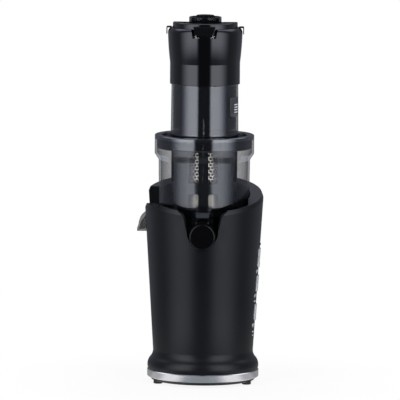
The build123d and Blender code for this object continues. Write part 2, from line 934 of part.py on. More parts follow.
with BuildPart() as pulp_chute:
    with BuildSketch(Plane.XZ.offset(-chute_y + chute_w / 2)):
        with BuildLine():
            Polyline(
                (chute_end_x, chute_z),
                (chute_x, chute_z),
                (chute_x, chute_z + 3.6),
                (chute_x + 1.7, chute_z + 8),
            )
            shoulder = ThreePointArc((chute_x + 1.7, chute_z + 8), (-76.6, 196.5), (-70.5, chute_top))
            Polyline(
                shoulder @ 1,
                (-well_r - 4.6, chute_top),
                (-well_r - 4.6, well_floor - well_skin),
                (chute_end_x, well_floor - well_skin),
                (chute_end_x, chute_z),
            )
        make_face()
    extrude(amount=-chute_w)
    with BuildSketch(Plane.XZ.offset(-chute_y + chute_w / 2 - 2)):
        with BuildLine():
            Polyline(
                (chute_end_x - chute_wall, chute_z + 3),
                (hood_open_x, chute_z + 3),
                (hood_open_x, chute_z - 1),
                (chute_x + 2.2, chute_z - 1),
                (chute_x + 2.2, chute_z + 3.4),
                (chute_x + 3.8, chute_z + 9),
                (hood_open_x + 0.4, chute_ceiling),
                (chute_end_x - chute_wall, chute_ceiling),
                close=True,
            )
        make_face()
    extrude(amount=-chute_w + 4, mode=Mode.SUBTRACT)
    extrude(
        sector(pulp_in_r, pulp_out_r, pulp_azimuth, pulp_half, chute_ceiling - 1),
        amount=10,
        mode=Mode.SUBTRACT,
    )

with BuildPart() as drum_seal:
    revolve(
        turned(
            (drive_r + 0.5, 180),
            (9, 180),
            (9, 188),
            (drive_r + 1.6, 188),
        )
    )

with BuildPart() as pulp_flap:
    with BuildSketch(Plane.XY.offset(chute_z + 8)):
        with Locations((-67.5, chute_y)):
            Rectangle(1.8, chute_w - 4.4)
    extrude(amount=chute_ceiling - chute_z - 8)

with BuildPart() as idler_pin:
    with BuildSketch(Plane.XY.offset(well_floor)):
        with Locations((wheel_module * (auger_teeth + idler_teeth) / 2, 0)):
            Circle(2)
    extrude(amount=strainer_z - 0.4 - well_floor)

with BuildPart() as cap_pin:
    with BuildSketch(Plane.YZ.offset(-tab_half)):
        with Locations((cap_axis_y, cap_axis_z)):
            Circle(cap_pin_r)
    extrude(amount=2 * tab_half)

# Spout cap ------------------------------------------------------------------------------

with BuildPart() as juice_cap:
    with BuildSketch(Plane.XZ.offset(-cap_back_y)):
        with Locations((0, spout_z)):
            Circle(cap_r)
    extrude(amount=cap_back_y - cap_face_y)
    fillet(juice_cap.faces().sort_by(Axis.Y)[0].edges(), radius=1.2)
    with BuildSketch(Plane.XZ.offset(-cap_back_y)):
        with Locations((0, 196.5)):
            Rectangle(2 * strap_half, 10.6)
    extrude(amount=2.6)
    with BuildSketch(Plane.YZ.offset(-strap_half)):
        with Locations((cap_axis_y, cap_axis_z)):
            Circle(2.8)
        with Locations(((cap_axis_y + cap_back_y) / 2 - 0.5, cap_axis_z)):
            Rectangle(cap_axis_y - cap_back_y + 1, 5)
    extrude(amount=2 * strap_half)
    with BuildSketch(Plane.YZ.offset(-strap_half)):
        with Locations((cap_axis_y, cap_axis_z)):
            Circle(cap_pin_r + 0.06)
    extrude(amount=2 * strap_half, mode=Mode.SUBTRACT)
    # Knuckle rounded about the pin, so that it clears the hinge tab as the cap swings
    with BuildSketch(Plane.YZ.offset(-strap_half - 1)):
        with Locations((cap_axis_y - 5, cap_axis_z + 4)):
            Rectangle(10, 8)
        with Locations((cap_axis_y, cap_axis_z)):
            Circle(strap_swing_r, mode=Mode.SUBTRACT)
    extrude(amount=2 * strap_half + 2, mode=Mode.SUBTRACT)

with BuildPart() as cap_gasket:
    with BuildSketch(Plane.XZ.offset(-cap_back_y)):
        with Locations((0, spout_z)):
            Circle(13)
            Circle(10, mode=Mode.SUBTRACT)
    extrude(amount=-1.1)

# Strainer ----------------------------------------------------------------------------------

mesh_wall = 0.8
mesh_z = strainer_z + 2
mesh_top = 283.0
band_z = 230.0
band_top = 242.0
hole_z = 247.0
hole_pitch = 5.5
hole_rows = 7
hole_columns = 10
hole_r = 1.1


def strainer_at(z):
    """Outer radius of the strainer's slightly tapered wall at height z."""
    return strainer_r + (strainer_top_r - strainer_r) * (z - mesh_z) / (mesh_top - mesh_z)


with BuildPart() as strainer_mesh:
    revolve(
        turned(
            (strainer_r - mesh_wall, mesh_z),
            (strainer_r, mesh_z),
            (strainer_top_r, mesh_top),
            (strainer_top_r - mesh_wall, mesh_top),
        )
    )
    for row in range(hole_rows):
        for column in range(hole_columns):
            azimuth = 360 / hole_columns * (column + row % 2 / 4)
            with BuildSketch(Plane.YZ.rotated((0, 0, azimuth)).offset(24)):
                with Locations((0, hole_z + hole_pitch * row)):
                    Circle(hole_r)
            extrude(amount=10, mode=Mode.SUBTRACT)

with BuildPart() as strainer_frame:
    revolve(tube_face(strainer_r, 17.0, strainer_z, mesh_z))
    revolve(
        turned(
            (strainer_at(band_z), band_z),
            (strainer_r + 1.0, band_z),
            (strainer_r + 1.0, band_top),
            (strainer_at(band_top), band_top),
        )
    )
    revolve(tube_face(36.6, strainer_top_r - mesh_wall, mesh_top, strainer_top))
    for azimuth in (30, 90, 150, 210, 330, 270):
        with BuildSketch(Plane.XY.offset(strainer_z)):
            with Locations(Location((0, 0, 0), (0, 0, azimuth))):
                with Locations((strainer_r + 0.6, 0)):
                    Rectangle(1.6, 2.4)
        extrude(amount=mesh_top - strainer_z)
    add(
        Solid.make_cone(strainer_r, strainer_top_r, mesh_top - mesh_z, Plane.XY.offset(mesh_z)),
        mode=Mode.SUBTRACT,
    )
    extrude(sector(pulp_in_r, pulp_out_r, pulp_azimuth, pulp_half, strainer_z), amount=2, mode=Mode.SUBTRACT)

# Wiper with its ring gear --------------------------------------------------------------------

wheel_addendum = 0.8 * wheel_module
wheel_dedendum = 1.05 * wheel_module
wheel_top = wheel_z + wheel_h
skirt_r = 35.9
window_tiers = ((214.5, 230.4), (242.6, 281.6))
window_corner = 2.4
frame_wall = 1.8


def window_face(azimuth, side, low, high):
    """One wiper window seen along its azimuth: upright at the post, leaning at the far edge."""
    near = side * post_half
    foot = side * frame_r * sin(radians(window_end))
    head = side * frame_r * sin(radians(window_end - window_lean * (high - low) / (frame_top - low)))
    with BuildSketch(Plane.XZ.rotated((0, 0, azimuth + 90)).offset(frame_r - 10)) as outline:
        with BuildLine():
            Polyline((near, low), (foot, low), (head, high), (near, high), close=True)
        make_face()
        fillet(outline.vertices(), radius=window_corner)
    return outline.sketch


with BuildPart() as wiper_frame:
    revolve(
        turned(
            (28, wheel_z),
            (skirt_r, wheel_z),
            (skirt_r, drum_floor + 0.8),
            (frame_r, drum_floor + 0.8),
            (frame_r, frame_top),
            (frame_r - frame_wall, frame_top),
            (frame_r - frame_wall, drum_floor + 2.8),
            (skirt_r - 1.7, drum_floor + 2.8),
            (skirt_r - 1.7, wheel_top),
            (28, wheel_top),
        )
    )
    extrude(
        gear_face(
            wiper_teeth,
            wheel_module,
            wheel_dedendum,
            wheel_addendum,
            -backlash,
            180 / wiper_teeth,
            wheel_z,
        ),
        amount=wheel_h,
        mode=Mode.SUBTRACT,
    )
    for azimuth in (-90, 0, 90, 180):
        for side in (-1, 1):
            for low, high in window_tiers:
                extrude(window_face(azimuth, side, low, high), amount=14, mode=Mode.SUBTRACT)

with BuildPart() as wiper_blades:
    for azimuth in (-90, 0, 90, 180):
        with BuildSketch(Plane.XY.offset(drum_floor + 3)):
            with Locations(Location((0, 0, 0), (0, 0, azimuth))):
                with Locations(((34 + frame_r - frame_wall) / 2, 0)):
                    Rectangle(frame_r - frame_wall - 34 + 0.3, 1.6)
        extrude(amount=60)
    add(Solid.make_cylinder(frame_r - frame_wall, 80, Plane.XY.offset(drum_floor)), mode=Mode.INTERSECT)

# Auger ------------------------------------------------------------------------------------------

insert_r = 8.5
hex_bore = hex_flat + 0.6
screw_z = wheel_top
flight_z = 214.4
flight_top = 282.0
flight_r = 30.0
flight_top_r = 27.4
flight_w = 8.0
flight_turn = 250
core_r = 15.0
core_top_r = 9.0
auger_top = 289.0

with BuildSketch(mode=Mode.PRIVATE) as lobes:
    Circle(core_top_r + 0.5)
    Rectangle(2 * flight_r + 8, flight_w)
twisted = Solid.extrude_linear_with_rotation(
    lobes.sketch.face(), (0, 0, 0), (0, 0, flight_top - flight_z + 3), flight_turn
)

with BuildPart() as auger_screw:
    add(Pos(0, 0, flight_z - 1) * twisted)
    add(
        Solid.make_cone(flight_r, flight_top_r, flight_top - flight_z, Plane.XY.offset(flight_z)),
        mode=Mode.INTERSECT,
    )
    revolve(
        turned(
            (0, screw_z),
            (16.4, screw_z),
            (16.4, flight_z + 1),
            (core_r, flight_z + 3),
            (core_top_r, flight_top),
            (core_top_r, auger_top - 3),
            (core_top_r - 3, auger_top),
            (0, auger_top),
        )
    )
    with BuildSketch(Plane.XY.offset(screw_z)):
        Circle(insert_r)
    extrude(amount=228 - screw_z, mode=Mode.SUBTRACT)

with BuildPart() as auger_insert:
    with BuildSketch(Plane.XY.offset(wheel_z)):
        Circle(insert_r)
        RegularPolygon(hex_bore / 2, 6, major_radius=False, mode=Mode.SUBTRACT)
    extrude(amount=228 - wheel_z)

with BuildPart() as auger_gear:
    extrude(
        gear_face(auger_teeth, wheel_module, wheel_addendum, wheel_dedendum, backlash, 0, wheel_z),
        amount=wheel_h,
    )
    with BuildSketch(Plane.XY.offset(wheel_z)):
        Circle(insert_r)
    extrude(amount=wheel_h, mode=Mode.SUBTRACT)

with BuildPart() as idler_blank:
    extrude(
        gear_face(
            idler_teeth, wheel_module, wheel_addendum, wheel_dedendum, backlash, 180 / idler_teeth, wheel_z
        ),
        amount=wheel_h,
    )
    with BuildSketch(Plane.XY.offset(wheel_z)):
        Circle(2.06)
    extrude(amount=wheel_h, mode=Mode.SUBTRACT)

with BuildPart() as idler_gear:
    add(Pos(wheel_module * (auger_teeth + idler_teeth) / 2, 0, 0) * idler_blank.part)

# Feed tube with its lid, collar ---------------------------------------------------------------------

tube_top = 420.0
skirt_out_r = 56.6
skirt_in_r = 53.8
skirt_z = 284.0

with BuildPart() as feed_tube:
    with BuildSketch(Plane.XZ):
        with BuildLine():
            Polyline(
                (tube_bore_r, lid_web_z),
                (skirt_in_r, lid_web_z),
                (skirt_in_r, skirt_z),
                (skirt_out_r, skirt_z),
                (skirt_out_r, lid_z),
                (flange_r, lid_z),
                (flange_r, lid_top - 0.8),
                (flange_r - 0.8, lid_top),
                (lid_ring_r + 0.8, lid_top),
                (lid_ring_r, lid_top - 0.8),
                (lid_ring_r, lid_z),
                (tube_foot_r + 1.6, lid_z),
            )
            foot = ThreePointArc(
                (tube_foot_r + 1.6, lid_z), (tube_foot_r + 0.5, lid_z + 0.5), (tube_foot_r, lid_z + 1.6)
            )
            Polyline(
                foot @ 1,
                (tube_r, collar_z),
                (tube_r, tube_top),
                (tube_bore_r, tube_top),
                (tube_bore_r, lid_web_z),
            )
        make_face()
    revolve(axis=Axis.Z)
    # Slim rib down the front of the tube that marks the locked position
    with BuildSketch(Plane.XY.offset(lid_z)):
        with Locations((0, -(tube_foot_r + 0.1))):
            RectangleRounded(1.6, 1.8, 0.5)
    extrude(amount=27)

with BuildPart() as lid_gasket:
    revolve(
        turned(
            (skirt_in_r + 0.2, skirt_z - 1.6),
            (skirt_out_r - 0.6, skirt_z - 1.6),
            (skirt_out_r - 0.2, skirt_z),
            (skirt_in_r, skirt_z),
        )
    )

with BuildPart() as feed_collar:
    with BuildSketch(Plane.YZ):
        with BuildLine():
            Line((tube_r, collar_z), (collar_r - 0.5, collar_z))
            edge = ThreePointArc(
                (collar_r - 0.5, collar_z), (collar_r - 0.15, collar_z + 0.15), (collar_r, collar_z + 0.5)
            )
            skirt = Line(edge @ 1, (collar_r, collar_flare_z))
            rise = ThreePointArc(
                skirt @ 1,
                (collar_top_r - 0.85, (collar_flare_z + collar_shoulder_z) / 2 + 1),
                (collar_top_r, collar_shoulder_z),
            )
            shoulder = ThreePointArc(
                rise @ 1, (collar_top_r - 0.9, collar_top - 2.6), (collar_top_r - 3.6, collar_top)
            )
            Polyline(
                shoulder @ 1,
                (collar_mouth_r, collar_top),
                (collar_mouth_r, tube_top),
                (tube_r, tube_top),
                (tube_r, collar_z),
            )
        make_face()
    revolve(axis=Axis.Z)
    # Slim hooked lugs at both sides
    for side in (-1, 1):
        with BuildSketch(Plane.XZ.offset(-ear_half)):
            with BuildLine():
                Polyline(
                    (side * (collar_mouth_r + 1), collar_top - 1),
                    (side * (collar_mouth_r + 2.6), ear_top),
                    (side * (ear_x - 0.8), ear_top),
                    (side * ear_x, ear_top - 0.8),
                    (side * ear_x, ear_low),
                    (side * (ear_x - 1), ear_low),
                    (side * (ear_x - 1), ear_top - 1.6),
                    (side * (collar_mouth_r + 4), ear_top - 1.4),
                    (side * (collar_mouth_r + 4), collar_top - 1),
                    close=True,
                )
            make_face()
        extrude(amount=2 * ear_half)
    with BuildSketch(Plane.XZ.offset(34)):
        with BuildLine():
            Polyline(
                (-notch_bottom_w / 2, tongue_notch_z),
                (notch_bottom_w / 2, tongue_notch_z),
                (notch_top_w / 2, collar_top + 1),
                (-notch_top_w / 2, collar_top + 1),
                close=True,
            )
        make_face()
    extrude(amount=14, mode=Mode.SUBTRACT)
    add(Solid.make_cylinder(collar_mouth_r, 60, Plane.XY.offset(tube_top)), mode=Mode.SUBTRACT)

# Pushers ---------------------------------------------------------------------------------------------

pusher_skin = 2.4
guide_r = 19.4
tongue_top_w = 26.6
tongue_bottom_w = 18.2
tongue_z = 418.4
disc_well_z = 429.2

with BuildPart() as pusher_body:
    revolve(
        turned(
            (small_bore_r, pusher_z),
            (pusher_r - 1.5, pusher_z),
            (pusher_r, pusher_z + 1.5),
            (pusher_r, disc_z),
            (pusher_r - pusher_skin, disc_z),
            (pusher_r - pusher_skin, pusher_z + 3),
            (guide_r, pusher_z + 3),
            (guide_r, disc_z),
            (small_bore_r, disc_z),
        )
    )

with BuildPart() as pusher_disc:
    with BuildSketch(Plane.XZ):
        with BuildLine():
            Polyline((small_bore_r, disc_z), (disc_r, disc_z), (disc_r, disc_top - 2))
            brim = ThreePointArc(
                (disc_r, disc_top - 2), (disc_r - 0.6, disc_top - 0.6), (disc_r - 2, disc_top)
            )
            Polyline(
                brim @ 1,
                (disc_r - 3.4, disc_top),
                (disc_r - 4.2, disc_well_z + 0.6),
                (small_cap_r + 2.6, disc_well_z + 0.6),
                (small_cap_r + 2.6, disc_well_z),
                (small_bore_r, disc_well_z),
                (small_bore_r, disc_z),
            )
        make_face()
    revolve(axis=Axis.Z)
    with BuildSketch(Plane.XZ.offset(36.5)):
        with BuildLine():
            Polyline(
                (-tongue_bottom_w / 2, tongue_z),
                (tongue_bottom_w / 2, tongue_z),
                (tongue_top_w / 2, disc_top - 3),
                (-tongue_top_w / 2, disc_top - 3),
                close=True,
            )
        make_face()
    extrude(amount=7.2)
    with BuildSketch(Plane.XY.offset(tongue_z - 1)):
        Circle(tube_r + 0.4)
    extrude(amount=disc_z - tongue_z + 1, mode=Mode.SUBTRACT)
    chamfer(pusher_disc.edges().filter_by(Axis.X).sort_by(Axis.Y)[0:2], length=1.2)
    # The rim dies away towards the rear
    with BuildSketch(Plane.YZ.offset(-50)):
        with BuildLine():
            Polyline(
                (0, disc_top),
                (50, disc_top),
                (50, disc_top - 50 * tan(radians(disc_fall))),
                close=True,
            )
        make_face()
    extrude(amount=100, mode=Mode.SUBTRACT)

with BuildPart() as small_pusher:
    revolve(
        turned(
            (0, pusher_z + 0.6),
            (small_r - 1, pusher_z + 0.6),
            (small_r, pusher_z + 1.6),
            (small_r, small_cap_z),
            (small_r - 2.2, small_cap_z),
            (small_r - 2.2, pusher_z + 3),
            (0, pusher_z + 3),
        )
    )

with BuildPart() as small_pusher_cap:
    revolve(
        turned(
            (0, small_cap_z),
            (small_cap_r, small_cap_z),
            (small_cap_r, small_top - 1),
            (small_cap_r - 1, small_top),
            (knob_r, small_top),
            (knob_r, knob_top - 0.8),
            (knob_r - 0.8, knob_top),
            (0, knob_top),
        )
    )

pieces = {
    "base_plate": base_plate,
    "trim_ring": trim_ring,
    "rubber_feet": rubber_feet,
    "casing_shell": casing_shell,
    "top_deck": top_deck,
    "casing_screws": casing_screws,
    "deck_seal": deck_seal,
    "motor_can": motor_can,
    "motor_end_plate": motor_end_plate,
    "motor_cradle": motor_cradle,
    "motor_stator": motor_stator,
    "motor_windings": motor_windings,
    "motor_bearings": motor_bearings,
    "motor_shaft": motor_shaft,
    "rotor_core": rotor_core,
    "cooling_fan": cooling_fan,
    "gearbox_housing": gearbox_housing,
    "gearbox_cover": gearbox_cover,
    "gearbox_screws": gearbox_screws,
    "drive_bearing": drive_bearing,
    "sun_gear": sun_gear,
    **planets,
    "planet_carrier": planet_carrier,
    "drive_shaft": drive_shaft,
    **buttons,
    "button_frame": button_frame,
    "control_board": control_board,
    "tact_switches": tact_switches,
    "status_lens": status_lens,
    "power_board": power_board,
    "board_parts": board_parts,
    "safety_switch": safety_switch,
    "cord_inlet": cord_inlet,
    "drum_bowl": drum_bowl,
    "pulp_chute": pulp_chute,
    "drum_seal": drum_seal,
    "pulp_flap": pulp_flap,
    "idler_pin": idler_pin,
    "cap_pin": cap_pin,
    "juice_cap": juice_cap,
    "cap_gasket": cap_gasket,
    "strainer_mesh": strainer_mesh,
    "strainer_frame": strainer_frame,
    "wiper_frame": wiper_frame,
    "wiper_blades": wiper_blades,
    "auger_screw": auger_screw,
    "auger_insert": auger_insert,
    "auger_gear": auger_gear,
    "idler_gear": idler_gear,
    "feed_tube": feed_tube,
    "lid_gasket": lid_gasket,
    "feed_collar": feed_collar,
    "pusher_body": pusher_body,
    "pusher_disc": pusher_disc,
    "small_pusher": small_pusher,
    "small_pusher_cap": small_pusher_cap,
}
os.makedirs("parts", exist_ok=True)
for name, piece in pieces.items():
    piece.part.label = name
    export_step(piece.part, f"parts/{name}.step")
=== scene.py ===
import json
import math

import bmesh
import bpy
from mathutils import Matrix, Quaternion, Vector


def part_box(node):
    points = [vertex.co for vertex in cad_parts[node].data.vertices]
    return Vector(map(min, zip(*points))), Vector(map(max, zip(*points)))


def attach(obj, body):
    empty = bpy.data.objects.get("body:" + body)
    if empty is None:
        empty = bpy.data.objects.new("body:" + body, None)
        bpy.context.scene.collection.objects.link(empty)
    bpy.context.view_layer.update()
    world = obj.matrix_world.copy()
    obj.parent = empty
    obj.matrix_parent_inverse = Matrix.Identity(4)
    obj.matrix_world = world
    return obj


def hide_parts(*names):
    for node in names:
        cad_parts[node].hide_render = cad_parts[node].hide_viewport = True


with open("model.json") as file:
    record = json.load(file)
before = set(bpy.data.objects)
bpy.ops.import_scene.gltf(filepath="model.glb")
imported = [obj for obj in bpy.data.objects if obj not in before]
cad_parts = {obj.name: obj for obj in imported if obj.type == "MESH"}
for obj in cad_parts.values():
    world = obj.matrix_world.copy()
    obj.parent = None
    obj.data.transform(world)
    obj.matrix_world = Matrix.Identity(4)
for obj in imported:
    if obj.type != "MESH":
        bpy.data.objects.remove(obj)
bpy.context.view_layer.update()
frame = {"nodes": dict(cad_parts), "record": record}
nodes = frame["nodes"]
print("frame loaded with", len(nodes), "nodes")

mm = 0.001


class Wire:  # wraps a socket, so that shader maths reads as sums
    def __init__(self, graph, socket):
        self.graph = graph
        self.socket = socket

    def maths(self, operation, first, second):
        return self.graph.node("ShaderNodeMath", {"operation": operation}, {0: first, 1: second})

    def __add__(self, other):
        return self.maths("ADD", self, other)

    def __radd__(self, other):
        return self.maths("ADD", other, self)

    def __sub__(self, other):
        return self.maths("SUBTRACT", self, other)

    def __rsub__(self, other):
        return self.maths("SUBTRACT", other, self)

    def __mul__(self, other):
        return self.maths("MULTIPLY", self, other)

    def __pow__(self, other):
        return self.maths("POWER", self, other)

    def __gt__(self, other):
        return self.maths("GREATER_THAN", self, other)

    def larger(self, other):
        return self.maths("MAXIMUM", self, other)


class Graph:
    def __init__(self, owner):
        owner.use_nodes = True
        self.tree = owner.node_tree
        self.tree.nodes.clear()

    def make(self, kind, settings=None, inputs=None):
        made = self.tree.nodes.new(kind)
        for name, value in (settings or {}).items():
            if name == "stops":
                ramp = made.color_ramp
                while len(ramp.elements) < len(value):
                    ramp.elements.new(0.5)
                for element, (place, colour) in zip(ramp.elements, value):
                    element.position = place
                    element.color = colour
            else:
                setattr(made, name, value)
        for name, value in (inputs or {}).items():
            if isinstance(value, Wire):
                self.tree.links.new(value.socket, made.inputs[name])
            else:
                made.inputs[name].default_value = value
        return made

    def node(self, kind, settings=None, inputs=None, output=0):
        return Wire(self, self.make(kind, settings, inputs).outputs[output])

    def place(self):
        return self.node("ShaderNodeTexCoord", output="Object")

    def parts(self, vector):
        split = self.make("ShaderNodeSeparateXYZ", None, {0: vector})
        return [Wire(self, socket) for socket in split.outputs]

    def vector(self, x, y, z):
        return self.node("ShaderNodeCombineXYZ", None, {0: x, 1: y, 2: z})

    def noise(self, scale, detail=2.0, where=None, roughness=0.5):
        inputs = {"Vector": where or self.place(), "Scale": scale, "Detail": detail, "Roughness": roughness}
        return self.node("ShaderNodeTexNoise", None, inputs)

    def ramp(self, factor, stops):
        return self.node("ShaderNodeValToRGB", {"stops": stops}, {0: factor})

    def blend(self, factor, first, second):
        return self.node("ShaderNodeMix", {"data_type": "RGBA"}, {0: factor, 6: first, 7: second}, output=2)

    def rise(self, value, span):  # smooth step from 0 to 1 across the span
        inputs = {"Value": value, "From Min": span[0], "From Max": span[1], "To Min": 0.0, "To Max": 1.0}
        return self.node("ShaderNodeMapRange", {"interpolation_type": "SMOOTHSTEP"}, inputs)

    def fall(self, value, span):
        return 1 - self.rise(value, span)

    def bump(self, height, strength, distance):
        inputs = {"Height": height, "Strength": strength, "Distance": distance}
        return self.node("ShaderNodeBump", None, inputs)

    def finish(self, inputs):
        shader = self.node("ShaderNodeBsdfPrincipled", None, inputs)
        self.make("ShaderNodeOutputMaterial", None, {"Surface": shader})


def rgb(red, green, blue):
    return (red, green, blue, 1.0)


def grey(level, cool=0.0):  # a grey a little to the blue side
    return rgb(level * (1 - cool), level, level * (1 + cool))


coolTint = rgb(0.86, 0.9, 1.0)  # reflections in dark plastic lean to blue


def newMaterial(name):
    material = bpy.data.materials.new(name)
    return material, Graph(material)


def mouldedPlastic(
    name, colour, roughness, grain=2400.0, depth=0.12, drift=0.05, coat=0.0, ior=1.5, tint=None
):
    material, graph = newMaterial(name)
    texture = graph.noise(grain, 3.0)
    clouds = graph.noise(38.0, 3.0)
    shade = graph.blend(clouds, colour, tuple(min(1.0, c * 1.25) for c in colour[:3]) + (1.0,))
    graph.finish({
        "Base Color": shade,
        "Roughness": roughness + (clouds - 0.5) * drift + (texture - 0.5) * drift,
        "IOR": ior,
        "Coat Weight": coat,
        "Coat Roughness": 0.06,
        "Specular Tint": tint or rgb(1, 1, 1),
        "Normal": graph.bump(texture, depth, 0.12 * mm),
    })
    return material


def glossBlack(name, colour, roughness=0.07, wave=0.04, ior=1.5, specular=0.5):
    material, graph = newMaterial(name)
    swell = graph.noise(55.0, 1.0)
    dust = graph.noise(900.0, 4.0)
    graph.finish({
        "Base Color": graph.blend(dust, colour, tuple(c * 1.3 for c in colour[:3]) + (1.0,)),
        "Roughness": roughness + (dust - 0.5) * 0.05,
        "IOR": ior,
        "Specular IOR Level": specular,
        "Specular Tint": coolTint,
        "Normal": graph.bump(swell, wave, 0.5 * mm),
    })
    return material


def smokyClear(name, colour, cover, edge, roughness=0.05, ior=1.85, dense=None):
    # dense: the heights below which the moulding is thick, and the cover it has there
    material, graph = newMaterial(name)
    facing = graph.node("ShaderNodeLayerWeight", None, {"Blend": 0.5}, output="Facing")
    haze = graph.noise(160.0, 3.0)
    swell = graph.noise(30.0, 1.0)
    if dense:
        x, y, z = graph.parts(graph.place())
        cover = graph.fall(z, dense[:2]) * (dense[2] - cover) + cover
    graph.finish({
        "Base Color": graph.blend(haze, colour, tuple(c * 1.2 for c in colour[:3]) + (1.0,)),
        "Roughness": roughness + (haze - 0.5) * 0.03,
        "IOR": ior,
        "Specular Tint": coolTint,
        "Alpha": cover + (facing ** 3.0) * edge + (haze - 0.5) * 0.02,
        "Normal": graph.bump(swell, 0.03, 0.6 * mm),
    })
    return material


def brushedRound(name, colour, roughness, lines=5200.0, depth=0.25, metal=1.0):
    material, graph = newMaterial(name)
    x, y, z = graph.parts(graph.place())
    angle = graph.node("ShaderNodeMath", {"operation": "ARCTAN2"}, {0: y, 1: x})
    strokes = graph.noise(1.0, 2.0, graph.vector(angle * 1.6, z * lines, (x * x + y * y) ** 0.5 * lines))
    stains = graph.noise(70.0, 3.0)
    graph.finish({
        "Base Color": graph.blend(strokes, tuple(c * 0.86 for c in colour[:3]) + (1.0,), colour),
        "Metallic": metal,
        "Roughness": roughness + (strokes - 0.5) * 0.16 + (stains - 0.5) * 0.06,
        "Normal": graph.bump(strokes, depth, 0.05 * mm),
    })
    return material


def rubberFinish(name, level):
    material, graph = newMaterial(name)
    grain = graph.noise(3200.0, 3.0)
    bloom = graph.noise(90.0, 4.0)
    graph.finish({
        "Base Color": graph.blend(bloom, grey(level), grey(level * 1.7)),
        "Roughness": 0.72 + (bloom - 0.5) * 0.15,
        "IOR": 1.45,
        "Normal": graph.bump(grain, 0.3, 0.1 * mm),
    })
    return material


def laminations(name):
    material, graph = newMaterial(name)
    x, y, z = graph.parts(graph.place())
    sheets = graph.node("ShaderNodeMath", {"operation": "FRACT"}, {0: z * 2000.0})
    edge = sheets > 0.82
    graph.finish({
        "Base Color": graph.blend(edge, grey(0.42), grey(0.12)),
        "Metallic": 0.9,
        "Roughness": 0.35 + edge * 0.3,
        "Normal": graph.bump(1 - edge, 0.5, 0.05 * mm),
    })
    return material


def windings(name):
    material, graph = newMaterial(name)
    x, y, z = graph.parts(graph.place())
    reach = (x * x + y * y) ** 0.5
    turns = graph.node("ShaderNodeMath", {"operation": "SINE"}, {0: (reach + z) * 7800.0})
    graph.finish({
        "Base Color": graph.blend(turns * 0.5 + 0.5, rgb(0.28, 0.1, 0.03), rgb(0.75, 0.33, 0.13)),
        "Metallic": 0.85,
        "Roughness": 0.32 + turns * 0.06,
        "Normal": graph.bump(turns, 0.6, 0.2 * mm),
    })
    return material


def circuitBoard(name):
    material, graph = newMaterial(name)
    where = {"Vector": graph.place(), "Scale": 420.0}
    cells = graph.node("ShaderNodeTexVoronoi", {"distance": "MANHATTAN"}, where)
    tracks = cells > 0.42
    graph.finish({
        "Base Color": graph.blend(tracks, rgb(0.01, 0.09, 0.045), rgb(0.03, 0.2, 0.1)),
        "Roughness": 0.35 + tracks * 0.1,
        "Normal": graph.bump(tracks, 0.3, 0.05 * mm),
    })
    return material


finishes = {
    "base_black": mouldedPlastic("baseBlack", grey(0.012), 0.5),
    "ring_silver": brushedRound("ringSilver", rgb(0.76, 0.76, 0.79), 0.13, depth=0.06),
    "foot_rubber": rubberFinish("footRubber", 0.014),
    "casing_black": mouldedPlastic(
        "casingBlack", grey(0.003, 0.15), 0.33, grain=2100.0, depth=0.08, ior=1.35, tint=coolTint
    ),
    "deck_black": mouldedPlastic("deckBlack", grey(0.006, 0.1), 0.35, ior=1.42, tint=coolTint),
    "screw_steel": brushedRound("screwSteel", rgb(0.6, 0.6, 0.6), 0.35),
    "silicone": rubberFinish("silicone", 0.03),
    "motor_steel": mouldedPlastic("motorSteel", rgb(0.3, 0.31, 0.33), 0.35, coat=0.3),
    "frame_plastic": mouldedPlastic("framePlastic", grey(0.02), 0.5),
    "lamination_steel": laminations("laminationSteel"),
    "copper_wire": windings("copperWire"),
    "bearing_steel": brushedRound("bearingSteel", rgb(0.7, 0.7, 0.72), 0.14, depth=0.08),
    "shaft_steel": brushedRound("shaftSteel", rgb(0.66, 0.65, 0.63), 0.2, depth=0.1),
    "fan_plastic": mouldedPlastic("fanPlastic", grey(0.03), 0.45),
    "gear_nylon": mouldedPlastic("gearNylon", rgb(0.78, 0.76, 0.7), 0.42, depth=0.06),
    "button_silver": mouldedPlastic("buttonSilver", rgb(0.62, 0.62, 0.64), 0.24, depth=0.03, coat=0.6),
    "board_green": circuitBoard("boardGreen"),
    "switch_black": mouldedPlastic("switchBlack", grey(0.01), 0.4),
    "smoky_clear": smokyClear("smokyClear", grey(0.006, 0.12), 0.26, 0.62, ior=2.0),
    "chute_grey": smokyClear("chuteGrey", grey(0.05, 0.05), 0.6, 0.2, roughness=0.12),
    "cap_black": glossBlack("capBlack", grey(0.0012), 0.1, wave=0.02, ior=1.4),
    "strainer_steel": brushedRound("strainerSteel", rgb(0.96, 0.92, 0.85), 0.2, depth=0.05),
    "strainer_plastic": mouldedPlastic("strainerPlastic", grey(0.02, 0.1), 0.3, depth=0.05),
    "wiper_smoke": glossBlack("wiperSmoke", grey(0.012, 0.2), 0.16),
    "auger_grey": mouldedPlastic("augerGrey", grey(0.03), 0.35),
    "tube_clear": smokyClear("tubeClear", grey(0.005, 0.08), 0.5, 0.4, ior=2.15, dense=(0.299, 0.302, 0.92)),
    "rim_clear": smokyClear("rimClear", grey(0.004, 0.08), 0.75, 0.2, ior=1.3),
    "collar_black": glossBlack("collarBlack", grey(0.0012), 0.08),
    "pusher_black": glossBlack("pusherBlack", grey(0.003), 0.09),
    "pusher_cap": glossBlack("pusherCap", grey(0.002), 0.5, ior=1.2, specular=0.2),
}
printWhite = mouldedPlastic("printWhite", rgb(0.72, 0.72, 0.74), 0.5, depth=0.05)
printDark = mouldedPlastic("printDark", grey(0.03, 0.1), 0.45, depth=0.05)
# painted light: a lighter grey that stands in for light showing through the clear hinge tab
paintedTabGlow = mouldedPlastic("paintedTabGlow", grey(0.045, 0.18), 0.5, depth=0.05, ior=1.4)

slotOf = {}
for subpart in frame["record"]["subparts"]:
    slotOf[subpart["node"]] = subpart["material_slot"]
for name, carried in nodes.items():
    carried.data.materials.clear()
    carried.data.materials.append(finishes[slotOf[name]])
print("finishes set on", len(slotOf), "nodes")


